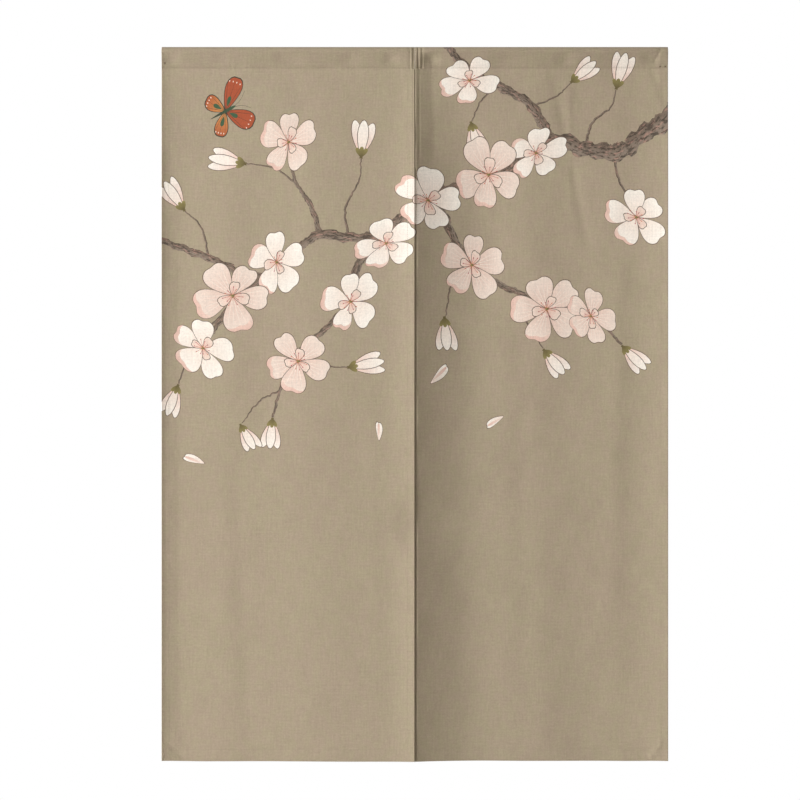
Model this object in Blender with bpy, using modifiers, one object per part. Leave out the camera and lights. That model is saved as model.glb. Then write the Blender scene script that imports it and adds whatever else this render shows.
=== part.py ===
# Noren: a doorway curtain of two cloth panels, joined at the top, slit below, hung from a rod pocket
# X runs across the doorway, the front faces -Y, and Z = 0 is the top edge that hangs on the rod
# Lengths are in metres, depths count away from the viewer, and a drop is measured down from the top edge

import math
from collections import namedtuple

import bmesh
import bpy

# Outline
WIDTH = 0.850
HEIGHT = 1.200
SEAM_DROP = 0.0365          # the seam that closes the pocket
JOIN_DROP = 0.213           # the panels are sewn together down to here
TUCK = 0.009                # how far the right panel reaches behind the left one at the top
TUCK_AT_HEM = 0.006
BOTTOM_LIFT = 0.0012        # how unevenly the bottom hem hangs
LIFT_WAVE = 0.300           # width of one wave of that hem
LIFT_START = 0.6            # where in its wave the hem is at the middle, in radians

# Cloth
LAYER = 0.0012
HEM_LAYERS = 0.0021         # where a hem is turned to the back
SIDE_HEM = 0.014
BOTTOM_HEM = 0.022
HEM_STEP = 0.0010           # run over which the hem's thickness starts
GAP = 0.0003                # kept between neighbouring pieces

# Rod pocket
ROD_SPACE = 0.014           # clear width at the top of the pocket
SEAM_BAND = 0.0030          # flat strip where the two layers lie together
LAYER_GAP = 0.00035         # half the slit between those layers
TOP_SEGMENTS = 8
PUCKER_DEPTH = 0.0009
END_CLEARANCE = 0.0004      # from the middle to each pocket's inner end, whose thickness leans with its folds

# The slit: the right panel's edge lies behind the left one, further down by more
EDGE_CLEARANCE = 0.0007
SLIT_OPENING = 0.0030
TUCK_EASE = 0.013           # run over which the right panel comes forward again

# How finely the cloth is divided, and how strongly the divisions close up towards the slit and the seam
FIELD_COLUMNS = 22
FIELD_ROWS = 19
POCKET_COLUMNS = 36
SLIT_PULL = 1.35
SEAM_PULL = 1.25

# Folds that run the whole height: the crest's place, how far each side reaches, the depth (negative is forward),
# the shares of its depth and reach that it has at the seam, and whether the crest is an edge
Fold = namedtuple("Fold", "name crest left_reach right_reach depth top_depth top_reach is_edge")

LEFT_FOLDS = (
    Fold("outer edge turned forward", -0.425, 0.001, 0.046, -0.0058, 0.50, 1.00, True),
    Fold("field hanging forward", -0.150, 0.270, 0.300, -0.0055, 0.15, 1.00, False),
    Fold("shallow hollow", -0.255, 0.070, 0.090, 0.0014, 0.20, 1.00, False),
    Fold("trough beside the slit", -0.046, 0.046, 0.046, 0.0025, 0.30, 1.00, False),
    Fold("ridge at the slit", 0.000, 0.050, 0.001, -0.0050, 0.70, 0.80, True),
)

RIGHT_FOLDS = (
    Fold("ridge at the slit", 0.000, 0.001, 0.112, -0.0150, 0.20, 0.40, True),
    Fold("field set back", 0.000, 0.001, 0.500, 0.0100, 0.19, 1.00, False),
    Fold("shallow hollow", 0.265, 0.080, 0.100, 0.0015, 0.30, 1.00, False),
    Fold("outer edge turned forward", 0.425, 0.075, 0.001, -0.0080, 0.45, 1.00, True),
)

FOLD_RUN = 0.200            # below the seam, the folds reach their full depth in this drop

# Soft dents that stay in one place: centre, half sizes and depth
Dent = namedtuple("Dent", "name x drop half_width half_height depth")

LEFT_DENTS = (
    Dent("slack beside the slit", -0.020, 0.800, 0.036, 0.110, 0.0030),
    Dent("slack under the seam", -0.330, 0.150, 0.080, 0.120, 0.0012),
)

RIGHT_DENTS = (
    Dent("slack below the join", 0.130, 0.330, 0.070, 0.160, 0.0014),
    Dent("slack at the hem", 0.300, 1.130, 0.090, 0.140, 0.0016),
)

# Puckers of the pocket, by the place of each one and its half width
Pucker = namedtuple("Pucker", "x half_width strength")

PUCKERS = (
    Pucker(-0.410, 0.020, 1.0),
    Pucker(-0.324, 0.026, 0.5),
    Pucker(-0.214, 0.032, 0.8),
    Pucker(-0.108, 0.024, 0.7),
    Pucker(-0.040, 0.020, 1.0),
    Pucker(0.018, 0.018, 1.2),
    Pucker(0.079, 0.024, 0.8),
    Pucker(0.152, 0.030, 0.6),
    Pucker(0.253, 0.022, 0.9),
    Pucker(0.336, 0.030, 0.5),
    Pucker(0.396, 0.022, 0.8),
)

# Linen-like taupe, a shade darker on the pocket
PANEL_COLOUR = (0.375, 0.310, 0.225, 1.0)
POCKET_COLOUR = (0.340, 0.280, 0.200, 1.0)
CLOTH_ROUGHNESS = 0.85


def clear_scene():
    for old in list(bpy.data.objects):
        bpy.data.objects.remove(old, do_unlink=True)


def ease(share):
    """Smooth step from 0 to 1, held at both ends."""
    share = min(1.0, max(0.0, share))
    return share * share * (3.0 - 2.0 * share)


def fold_depth(fold, x, drop):
    """Depth that one full-height fold gives at a point."""
    grown = ease((drop - SEAM_DROP) / FOLD_RUN)
    side = fold.left_reach if x < fold.crest else fold.right_reach
    reach = side * (fold.top_reach + (1.0 - fold.top_reach) * grown)
    share = max(0.0, 1.0 - abs(x - fold.crest) / reach)
    form = share * share if fold.is_edge else ease(share)
    return fold.depth * form * (fold.top_depth + (1.0 - fold.top_depth) * grown)


def dent_depth(dent, x, drop):
    """Depth that one soft dent gives at a point."""
    across = (x - dent.x) / dent.half_width
    down = (drop - dent.drop) / dent.half_height
    return dent.depth * ease(1.0 - math.hypot(across, down))


def left_depth(x, drop):
    folds = sum(fold_depth(fold, x, drop) for fold in LEFT_FOLDS)
    return folds + sum(dent_depth(dent, x, drop) for dent in LEFT_DENTS)


def right_depth(x, drop):
    """Depth of the right panel: behind the left panel's hem where it is tucked, then on its own folds."""
    opening = SLIT_OPENING * ease((drop - JOIN_DROP) / (HEIGHT - JOIN_DROP))
    tucked = left_depth(min(x, 0.0), drop) + HEM_LAYERS + EDGE_CLEARANCE + opening
    folds = sum(fold_depth(fold, x, drop) for fold in RIGHT_FOLDS)
    own = folds + sum(dent_depth(dent, x, drop) for dent in RIGHT_DENTS)
    forward = ease(x / TUCK_EASE)
    return tucked + (own - tucked) * forward


def bottom_lift(x):
    """How much higher than the lowest point the bottom hem hangs."""
    return BOTTOM_LIFT * (0.5 + 0.5 * math.sin(math.tau * x / LIFT_WAVE + LIFT_START))


def cloth_material(name, colour):
    material = bpy.data.materials.new(name)
    material.use_nodes = True
    shader = material.node_tree.nodes["Principled BSDF"]
    shader.inputs["Base Color"].default_value = colour
    shader.inputs["Roughness"].default_value = CLOTH_ROUGHNESS
    shader.inputs["Metallic"].default_value = 0.0
    return material


def bent_sheet(name, columns, rows, place, material, collection, is_hem=None):
    """A grid with one point for each column and row, put in place and given the cloth's thickness."""
    bm = bmesh.new()
    across = len(columns) - 1
    down = len(rows) - 1
    bmesh.ops.create_grid(bm, x_segments=across, y_segments=down, size=0.5)
    hem_points = []
    for index, vert in enumerate(bm.verts):
        column = columns[round((vert.co.x + 0.5) * across)]
        row = rows[round((vert.co.y + 0.5) * down)]
        vert.co = place(column, row)
        if is_hem and is_hem(column, row):
            hem_points.append(index)
    mesh = bpy.data.meshes.new(name)
    bm.to_mesh(mesh)
    bm.free()
    mesh.shade_smooth()
    mesh.materials.append(material)

    sheet = bpy.data.objects.new(name, mesh)
    collection.objects.link(sheet)
    hem = sheet.vertex_groups.new(name="hem")
    hem.add(hem_points, 1.0, "REPLACE")
    wall = sheet.modifiers.new("cloth thickness", "SOLIDIFY")
    wall.thickness = HEM_LAYERS
    wall.offset = -1.0
    wall.use_even_offset = True
    wall.vertex_group = hem.name
    wall.thickness_vertex_group = LAYER / HEM_LAYERS
    return sheet


def panel_columns(low, high, closer_at_low):
    """Places across a panel: close at its hems, and closer towards the slit than at the outer edge."""
    inner_low = low + SIDE_HEM + HEM_STEP
    inner_high = high - SIDE_HEM - HEM_STEP
    field = []
    for index in range(FIELD_COLUMNS + 1):
        share = index / FIELD_COLUMNS
        pulled = share ** SLIT_PULL if closer_at_low else 1.0 - (1.0 - share) ** SLIT_PULL
        field.append(inner_low + (inner_high - inner_low) * pulled)
    return [low, low + SIDE_HEM / 2, low + SIDE_HEM] + field + [high - SIDE_HEM, high - SIDE_HEM / 2, high]


def panel_rows():
    """Drops from the bottom hem up to the seam, closer together near the top."""
    top = SEAM_DROP + GAP
    field_end = HEIGHT - BOTTOM_HEM - HEM_STEP
    rows = [HEIGHT, HEIGHT - BOTTOM_HEM]
    for index in range(FIELD_ROWS + 1):
        share = 1.0 - index / FIELD_ROWS
        rows.append(top + (field_end - top) * share ** SEAM_PULL)
    return rows


def make_panel(name, low, high, depth_at, inner_is_low, material, collection):
    """One hanging panel from the seam down, hemmed at both sides and at the bottom."""
    def place(x, drop):
        if inner_is_low and x < 0.0:
            x *= 1.0 - (1.0 - TUCK_AT_HEM / TUCK) * drop / HEIGHT
        lift = bottom_lift(x) * ease(drop / HEIGHT)
        return (x, depth_at(x, drop) - LAYER - LAYER_GAP, lift - drop)

    def is_hem(x, drop):
        beside = min(x - low, high - x) <= SIDE_HEM + GAP
        return beside or drop >= HEIGHT - BOTTOM_HEM - GAP

    columns = panel_columns(low, high, inner_is_low)
    return bent_sheet(name, columns, panel_rows(), place, material, collection, is_hem)


def pocket_profile():
    """Outer line of the pocket seen from its end: up the front, over the rod's place, down the back."""
    radius = ROD_SPACE / 2 + LAYER
    beside_seam = LAYER + LAYER_GAP
    seam_top = -(SEAM_DROP - SEAM_BAND)
    below_rod = -radius - seam_top
    tilt = math.asin(radius / math.hypot(beside_seam, below_rod)) - math.atan2(beside_seam, below_rod)
    arc = []
    for index in range(TOP_SEGMENTS + 1):
        angle = math.pi + tilt - (math.pi + 2 * tilt) * index / TOP_SEGMENTS
        arc.append((radius * math.cos(angle), radius * math.sin(angle) - radius))
    middle = ((arc[0][0] - beside_seam) / 2, (arc[0][1] + seam_top) / 2)
    front = [(-beside_seam, -SEAM_DROP), (-beside_seam, seam_top), middle]
    back = [(-y, z) for y, z in reversed(front)]
    return front + arc + back


def pucker_depth(x):
    """Soft vertical puckers, which press the pocket's faces in."""
    total = 0.0
    for pucker in PUCKERS:
        total += pucker.strength * ease(1.0 - abs(x - pucker.x) / pucker.half_width)
    return PUCKER_DEPTH * total


def make_pocket(name, low, high, depth_at, material, collection):
    """One tube for the rod: the panel's cloth turned to the back and sewn down, open at both ends."""
    rod_drop = ROD_SPACE / 2 + LAYER
    face_height = SEAM_DROP - SEAM_BAND - rod_drop
    columns = [low + (high - low) * index / POCKET_COLUMNS for index in range(POCKET_COLUMNS + 1)]

    def place(x, point):
        y, z = point
        down = min(1.0, max(0.0, (-rod_drop - z) / face_height))
        hump = 4.0 * down * (1.0 - down)
        pressed = math.copysign(pucker_depth(x) * hump, -y)
        return (x, y + pressed + down * depth_at(x, SEAM_DROP), z)

    return bent_sheet(name, columns, pocket_profile(), place, material, collection)


def build_noren():
    clear_scene()
    collection = bpy.data.collections.new("noren")
    bpy.context.scene.collection.children.link(collection)
    edge = WIDTH / 2
    materials = {name: cloth_material(name + "_cloth", colour) for name, colour in (
        ("panel_left", PANEL_COLOUR),
        ("panel_right", PANEL_COLOUR),
        ("pocket_left", POCKET_COLOUR),
        ("pocket_right", POCKET_COLOUR),
    )}
    make_panel("panel_left", -edge, 0.0, left_depth, False, materials["panel_left"], collection)
    make_panel("panel_right", -TUCK, edge, right_depth, True, materials["panel_right"], collection)
    make_pocket("pocket_left", -edge, -END_CLEARANCE, left_depth, materials["pocket_left"], collection)
    make_pocket("pocket_right", END_CLEARANCE, edge, right_depth, materials["pocket_right"], collection)


build_noren()
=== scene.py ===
# Noren: two panels of printed linen, joined at the top, slit below, hung by a pocket for a rod
# X runs across the doorway, the front faces -Y, Z = 0 is the top edge, and lengths are in metres
# A flat place on the cloth is u across and v up from the bottom hem, over the pocket and down its back

import math
import random

import bpy
import numpy as np
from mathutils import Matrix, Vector
from mathutils.geometry import delaunay_2d_cdt


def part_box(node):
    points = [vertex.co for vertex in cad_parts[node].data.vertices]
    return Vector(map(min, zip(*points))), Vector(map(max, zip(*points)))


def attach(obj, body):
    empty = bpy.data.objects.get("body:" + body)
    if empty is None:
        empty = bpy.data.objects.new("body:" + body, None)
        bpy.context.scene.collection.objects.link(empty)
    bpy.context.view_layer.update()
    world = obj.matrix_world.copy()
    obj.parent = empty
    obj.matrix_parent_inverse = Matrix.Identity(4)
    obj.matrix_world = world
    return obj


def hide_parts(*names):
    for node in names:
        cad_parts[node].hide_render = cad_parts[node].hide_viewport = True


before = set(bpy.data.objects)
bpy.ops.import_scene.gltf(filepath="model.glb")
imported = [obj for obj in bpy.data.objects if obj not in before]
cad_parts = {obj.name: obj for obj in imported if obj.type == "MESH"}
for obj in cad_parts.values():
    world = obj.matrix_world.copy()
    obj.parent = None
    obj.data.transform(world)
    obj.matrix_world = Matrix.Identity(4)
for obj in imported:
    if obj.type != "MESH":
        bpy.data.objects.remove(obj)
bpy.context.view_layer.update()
print("frame loaded:", ", ".join(sorted(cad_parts)))


# The curtain as it hangs

curtain = {
    "halfWidth": 0.425,
    "height": -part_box("panel_right")[0].z,
    "seamDrop": -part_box("pocket_right")[0].z,     # the seam that closes the pocket, below the top edge
    "joinDrop": 0.213,              # the panels are sewn together down to here
    "tuck": 0.009,                  # how far the right panel reaches behind the left one
    "tuckAtHem": 0.006,
    "pocketStart": 0.00015,         # inner end of the right pocket, sewn to the left one
    "tuckEase": 0.0060,             # run over which the right panel comes forward beside the left one
    "tuckEaseAtJoin": 0.0016,
    "edgeClearance": 0.0005,
    "slitOpening": 0.0006,
    "bottomLift": 0.0004,
    "liftWave": 0.300,
    "liftStart": 0.6,
    "cornerLift": 0.0011,
    "cornerReach": 0.075,
    "foldRun": 0.200,               # below the seam, the folds reach their full depth in this drop
    "calmAtSlit": 0.030,            # the slack dies out over these runs towards an edge
    "calmAtSide": 0.015,
    "tuckEaseFrom": 0.005,          # below the join tuckEase takes over, from here and over this run
    "tuckEaseRun": 0.02,
}

# Folds: crest, reach left, reach right, depth, share of depth and of reach at the seam, crest is an edge
leftFolds = [
    (-0.425, 0.001, 0.046, -0.0033, 0.50, 1.00, True),      # outer edge turned forward
    (-0.425, 0.001, 0.0050, -0.00035, 0.60, 1.00, True),    # its last few millimetres, more so
    (-0.425, 0.001, 0.0085, -0.0004, 0.80, 1.00, False),
    (-0.105, 0.320, 0.300, -0.0044, 0.15, 1.00, False),     # field hanging forward
    (-0.255, 0.070, 0.090, 0.0014, 0.20, 1.00, False),      # shallow hollow
    (-0.046, 0.046, 0.046, 0.0002, 0.30, 1.00, False),      # trough beside the slit
    (0.000, 0.115, 0.001, -0.0052, 0.515, 0.80, True),      # ridge at the slit
    (0.000, 0.045, 0.001, -0.0026, 0.317, 0.80, True),      # its last few centimetres, more so
]
rightFolds = [
    (0.000, 0.001, 0.141, -0.0188, 0.160, 0.40, True),      # ridge at the slit
    (0.000, 0.001, 0.060, -0.0011, 2.80, 0.58, True),       # its edge, stronger beside the join
    (0.000, 0.001, 0.500, 0.0100, 0.19, 1.00, False),       # field set back
    (0.265, 0.080, 0.100, 0.0015, 0.30, 1.00, False),       # shallow hollow
    (0.425, 0.075, 0.001, -0.0080, 0.45, 1.00, True),       # outer edge turned forward
]

# Soft dents: x, drop, half width, half height, depth
leftDents = [
    (0.002, 0.800, 0.046, 0.070, 0.0039),
    (-0.330, 0.150, 0.080, 0.120, 0.0012),
]
rightDents = [
    (0.000, 0.800, 0.160, 0.070, 0.0039),       # gives way to the left panel's edge
    (0.130, 0.330, 0.070, 0.160, 0.0014),
    (0.300, 1.130, 0.090, 0.140, 0.0016),
]

# Creases: x and drop of both ends, half width, depth
leftCreases = [
    (-0.397, 0.300, -0.396, 1.150, 0.007, 0.0002),
    (-0.300, 0.700, -0.280, 1.170, 0.016, 0.0005),
    (-0.190, 0.050, -0.215, 0.420, 0.014, 0.0004),
    (-0.075, 0.560, -0.066, 1.100, 0.012, -0.0002),
    (-0.424, 1.160, -0.385, 1.199, 0.006, 0.0004),
]
rightCreases = [
    (0.236, 0.060, 0.290, 0.330, 0.009, 0.0007),
    (0.258, 0.055, 0.262, 0.270, 0.006, -0.0004),
    (0.176, 0.450, 0.190, 1.120, 0.020, 0.0006),
    (0.345, 0.380, 0.330, 0.960, 0.018, -0.0006),
    (0.394, 1.197, 0.414, 1.169, 0.0045, -0.0008),
    (0.398, 0.038, 0.424, 0.100, 0.007, 0.0005),
    (0.0078, 0.045, 0.0080, 0.195, 0.0015, 0.0003),
    (0.029, 0.040, 0.033, 0.190, 0.0080, 0.0004),
    (0.088, 0.330, 0.088, 1.190, 0.036, 0.0012),
]

# How a crease dies out past both its ends
creaseEnds = {"steepness": 3.0, "reach": 0.5}

# Slack that runs all over the cloth, as waves: length, direction in degrees, start in radians
slack = {
    "leftHeight": 0.00010,
    "rightHeight": 0.00014,
    "rightShift": 0.21,             # so that the right panel doesn't repeat the left one
    "fullLength": 0.1,              # a wave of this length has the full height
    "bend": 1.7,                    # how far the waves wander on their way down, and how often
    "bendRate": 9.0,
    "rightHeight": 0.00014,
    "waves": [
        (0.171, 12, 0.4),
        (0.117, 74, 2.1),
        (0.083, -31, 4.0),
        (0.061, 128, 1.3),
        (0.047, 21, 5.2),
        (0.036, 97, 3.1),
    ],
}


def ease(share):
    share = np.clip(share, 0.0, 1.0)
    return share * share * (3.0 - 2.0 * share)


def foldDepth(fold, x, drop):
    crest, leftReach, rightReach, depth, topDepth, topReach, isEdge = fold
    grown = ease((drop - curtain["seamDrop"]) / curtain["foldRun"])
    reach = np.where(x < crest, leftReach, rightReach) * (topReach + (1.0 - topReach) * grown)
    share = np.clip(1.0 - np.abs(x - crest) / reach, 0.0, 1.0)
    form = share ** 2 if isEdge else ease(share)
    return depth * form * (topDepth + (1.0 - topDepth) * grown)


def dentDepth(dent, x, drop):
    centre, centreDrop, halfWidth, halfHeight, depth = dent
    return depth * ease(1.0 - np.hypot((x - centre) / halfWidth, (drop - centreDrop) / halfHeight))


def creaseDepth(crease, x, drop):
    x1, drop1, x2, drop2, halfWidth, depth = crease
    length = math.hypot(x2 - x1, drop2 - drop1)
    along = ((x - x1) * (x2 - x1) + (drop - drop1) * (drop2 - drop1)) / length ** 2
    aside = ((x - x1) * (drop2 - drop1) - (drop - drop1) * (x2 - x1)) / length
    steepness, reach = creaseEnds["steepness"], creaseEnds["reach"]
    fade = ease(along * steepness + reach) * ease((1.0 - along) * steepness + reach)
    return depth * fade * np.exp(-(aside / halfWidth) ** 2)


def slackDepth(x, drop, height):
    total = 0.0
    bend = slack["bend"] * np.sin(slack["bendRate"] * drop)
    for length, degrees, start in slack["waves"]:
        turn = math.radians(degrees)
        travel = x * math.cos(turn) + drop * math.sin(turn)
        total = total + length / slack["fullLength"] * np.sin(math.tau * travel / length + start + bend)
    return height * total


def leftBase(x, drop):
    depth = sum(foldDepth(fold, x, drop) for fold in leftFolds)
    return depth + sum(dentDepth(dent, x, drop) for dent in leftDents)


def leftDepth(x, drop):
    calm = ease(-x / curtain["calmAtSlit"]) * ease((x + curtain["halfWidth"]) / curtain["calmAtSide"])
    extra = sum(creaseDepth(crease, x, drop) for crease in leftCreases)
    extra = extra + slackDepth(x, drop, slack["leftHeight"]) * calm
    return leftBase(x, drop) + extra


def rightDepth(x, drop):
    below = ease((drop - curtain["joinDrop"]) / (curtain["height"] - curtain["joinDrop"]))
    opening = curtain["slitOpening"] * below
    tucked = leftBase(np.minimum(x, 0.0), drop) + cloth["hemThickness"] + curtain["edgeClearance"] + opening
    own = sum(foldDepth(fold, x, drop) for fold in rightFolds)
    own = own + sum(dentDepth(dent, x, drop) for dent in rightDents)
    calm = ease((curtain["halfWidth"] - x) / curtain["calmAtSide"])
    own = own + sum(creaseDepth(crease, x, drop) for crease in rightCreases)
    own = own + slackDepth(x + slack["rightShift"], drop, slack["rightHeight"]) * calm
    grown = ease((below - curtain["tuckEaseFrom"]) / curtain["tuckEaseRun"])
    run = curtain["tuckEaseAtJoin"] + (curtain["tuckEase"] - curtain["tuckEaseAtJoin"]) * grown
    return tucked + (own - tucked) * ease(x / run)


# The cloth, its hems and its pocket

cloth = {
    "thickness": 0.0008,
    "hemThickness": 0.0019,         # three layers
    "pocketHemThickness": 0.0014,   # where two such hems are pressed together at the pocket
    "sideHem": 0.014,
    "bottomHem": 0.022,
    "hemStep": 0.0007,              # run over which a hem's thickness starts
    "stitchInset": 0.002,           # from a hem's inner edge to its stitches
    "columnStep": 0.0065,
    "rowStep": 0.0095,
    "headerColumnStep": 0.0030,
    "headerRowStep": 0.0024,
    "headerRun": 0.014,             # finer rows start this far below the seam
    "normalStep": 0.0002,
}

pocket = {
    "radius": 0.0082,               # of the rounded top, to the cloth's outer face
    "besideSeam": 0.00155,          # from the middle to the outer face, where the layers lie together
    "band": 0.0030,
    "tail": 0.0028,                 # the back ends this far below the seam's line
    "turnedIn": 0.009,
    "softness": 0.0022,             # how softly the cloth bends
    "puckerDepth": 0.0013,
    "seamTrough": 0.00034,
    "seamTroughWidth": 0.0013,
    "rippleHeight": 0.00010,
    "rippleLength": 0.0094,
    "rippleReach": 0.008,
    "rippleWander": ((1.3, 23.0, 0.0), (0.9, 61.0, 1.0)),       # height, rate and start of its waves
    "rippleSwell": (0.6, 0.4, 37.0),                            # least height, swell, and its rate
    "spareProfile": 0.005,          # the profile goes on this far past both ends of the cloth
    "arcPoints": 33,
    "profileStep": 0.0002,
    "notchBelowSeam": 0.0006,
    "pressFrom": 0.006,             # from here below the seam the side hems are pressed thinner
    "pressRun": 0.004,
    "joinCreaseRun": 0.008,         # runs over which creases and the seam's trough reach their depth
    "creaseRun": 0.004,
    "troughRun": 0.004,
}

# Puckers of the pocket: x, half width, strength
puckers = [
    (-0.410, 0.020, 1.0),
    (-0.324, 0.026, 0.5),
    (-0.214, 0.032, 0.8),
    (-0.108, 0.024, 0.7),
    (-0.040, 0.020, 1.0),
    (0.0270, 0.0210, 2.2),
    (0.044, 0.026, 0.7),
    (0.092, 0.026, 0.8),
    (0.152, 0.030, 0.6),
    (0.253, 0.022, 0.9),
    (0.336, 0.030, 0.5),
    (0.396, 0.022, 0.8),
]

# A crease across the pocket's right end, as the creases above
pocketCreases = [
    (0.4150, 0.004, 0.4010, 0.034, 0.0030, 0.0007),
]

# Upright creases pressed into the pocket beside the join: x, half width, depth
joinCreases = [
    (-0.0084, 0.0012, 0.0003),
    (-0.0019, 0.0010, 0.0007),
    (0.0058, 0.0013, 0.0007),
    (0.0124, 0.0015, 0.0006),
]


def pocketProfile():
    # Outer face seen from the curtain's end, up the front, over the rod's place and down the back
    radius = pocket["radius"]
    beside = pocket["besideSeam"]
    spare = pocket["spareProfile"]
    seamTop = curtain["seamDrop"] - pocket["band"]
    belowRod = seamTop - radius
    tilt = math.asin(radius / math.hypot(beside, belowRod)) - math.atan2(beside, belowRod)
    line = [(-beside, curtain["height"] + spare), (-beside, seamTop)]
    for angle in np.linspace(math.pi + tilt, -tilt, pocket["arcPoints"]):
        line.append((radius * math.cos(angle), radius - radius * math.sin(angle)))
    line += [(beside, seamTop), (beside, curtain["seamDrop"] + pocket["tail"] + spare)]
    line = np.array(line)
    run = np.concatenate(([0.0], np.cumsum(np.hypot(*np.diff(line, axis=0).T))))
    step = pocket["profileStep"]
    places = np.arange(0.0, run[-1], step)
    window = round(pocket["softness"] / step) | 1
    kernel = np.hanning(window + 2)
    kernel = kernel / kernel.sum()
    margin = len(kernel) // 2
    smooth = []
    for side in (0, 1):
        values = np.pad(np.interp(places, run, line[:, side]), margin, mode="reflect", reflect_type="odd")
        smooth.append(np.convolve(values, kernel, mode="valid"))
    return places - spare, smooth[0], smooth[1]


profileV, profileY, profileDrop = pocketProfile()
crownV = float(profileV[np.argmin(profileDrop)])        # the top of the curtain


def frontV(drop):
    front = profileV <= crownV
    return float(np.interp(-drop, -profileDrop[front], profileV[front]))


def backV(drop):
    back = profileV >= crownV
    return float(np.interp(drop, profileDrop[back], profileV[back]))


seamV = frontV(curtain["seamDrop"])
stitchedV = frontV(curtain["seamDrop"] - pocket["band"] / 2)
backStitchedV = backV(curtain["seamDrop"] - pocket["band"] / 2)
endV = backV(curtain["seamDrop"] + pocket["tail"])
notchV = seamV - pocket["notchBelowSeam"]

panels = {
    "left": {"low": -curtain["halfWidth"], "high": 0.0, "depth": leftDepth, "notch": None},
    "right": {"low": -curtain["tuck"], "high": curtain["halfWidth"], "depth": rightDepth,
              "notch": (curtain["pocketStart"], notchV)},
}


def edgeDistance(panel, u, v):
    near = np.minimum(np.minimum(u - panel["low"], panel["high"] - u), np.minimum(v, endV - v))
    if panel["notch"]:
        notchU, notchFrom = panel["notch"]
        near = np.minimum(near, np.hypot(np.maximum(u - notchU, 0.0), np.maximum(notchFrom - v, 0.0)))
    return near


def sideDistance(panel, u, v):
    low = panel["low"]
    if panel["notch"]:
        low = np.where(v > panel["notch"][1], panel["notch"][0], low)
    return np.minimum(u - low, panel["high"] - u)


def thicknessAt(panel, u, v):
    def layered(distance, hem, extra):
        return extra * ease((hem + cloth["hemStep"] - distance) / cloth["hemStep"])

    single = cloth["thickness"]
    atPocket = ease((v - seamV + pocket["pressFrom"]) / pocket["pressRun"])
    hemThickness = cloth["hemThickness"] + (cloth["pocketHemThickness"] - cloth["hemThickness"]) * atPocket
    side = layered(sideDistance(panel, u, v), cloth["sideHem"], hemThickness - single)
    bottom = layered(v, cloth["bottomHem"], cloth["hemThickness"] - single)
    turned = layered(endV - v, pocket["turnedIn"], cloth["pocketHemThickness"] - single)
    return single + np.maximum(np.maximum(side, bottom), turned)


def pressedDepth(x, down, fromCrown):
    # How far the pocket's faces are pressed in, by its puckers and by the creases beside the join
    total = 0.0
    for centre, halfWidth, strength in puckers:
        total = total + pocket["puckerDepth"] * strength * ease(1.0 - np.abs(x - centre) / halfWidth)
    total = total * 4.0 * down * (1.0 - down)
    for centre, halfWidth, depth in joinCreases:
        pressed = depth * np.exp(-((x - centre) / halfWidth) ** 2)
        total = total + pressed * ease(fromCrown / pocket["joinCreaseRun"])
    for crease in pocketCreases:
        total = total + creaseDepth(crease, x, fromCrown) * ease(fromCrown / pocket["creaseRun"])
    return total


def seamDepth(x, drop):
    # The trough along the seam's stitches, and the ripple that they draw into the cloth
    below = drop - (curtain["seamDrop"] - pocket["band"] / 2)
    trough = pocket["seamTrough"] * np.exp(-(below / pocket["seamTroughWidth"]) ** 2)
    wander = sum(height * np.sin(rate * x + start) for height, rate, start in pocket["rippleWander"])
    least, swell, rate = pocket["rippleSwell"]
    ripple = np.sin(math.tau * x / pocket["rippleLength"] + wander) * (least + swell * np.sin(rate * x))
    return trough + pocket["rippleHeight"] * ripple * np.exp(-(below / pocket["rippleReach"]) ** 2)


def facePlace(panel, u, v):
    # The printed face of the hanging cloth, for arrays of flat places
    y = np.interp(v, profileV, profileY)
    drop = np.interp(v, profileV, profileDrop)
    behind = (u < 0.0) & (panel["notch"] is not None)       # this cloth lies behind the left panel
    shrink = 1.0 - (1.0 - curtain["tuckAtHem"] / curtain["tuck"]) * drop / curtain["height"]
    x = np.where(behind, u * shrink, u)
    faceHeight = curtain["seamDrop"] - pocket["band"] - pocket["radius"]
    down = np.clip((drop - pocket["radius"]) / faceHeight, 0.0, 1.0)
    depth = panel["depth"](x, np.maximum(drop, curtain["seamDrop"])) * down
    inward = np.where(v < crownV, 1.0, -1.0)
    inside = ease(sideDistance(panel, u, v) / pocket["troughRun"])
    atSeam = seamDepth(x, drop) * np.where(behind, 0.0, 1.0) * inside
    pressed = pressedDepth(x, down, np.abs(v - crownV)) * (drop < curtain["seamDrop"])
    y = y + depth + inward * (pressed + atSeam)
    wave = np.sin(math.tau * x / curtain["liftWave"] + curtain["liftStart"])
    lift = curtain["bottomLift"] * (0.5 + 0.5 * wave)
    nearCorner = ease(1.0 - (curtain["halfWidth"] - np.abs(x)) / curtain["cornerReach"])
    lift = lift + curtain["cornerLift"] * nearCorner
    return np.stack((x, y, lift * ease(drop / curtain["height"]) - drop), axis=1)


def normalOf(place, u, v):
    step = cloth["normalStep"]
    across = place(u + step, v) - place(u - step, v)
    up = place(u, v + step) - place(u, v - step)
    normal = np.cross(across, up)
    return normal / np.linalg.norm(normal, axis=1, keepdims=True)


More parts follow.
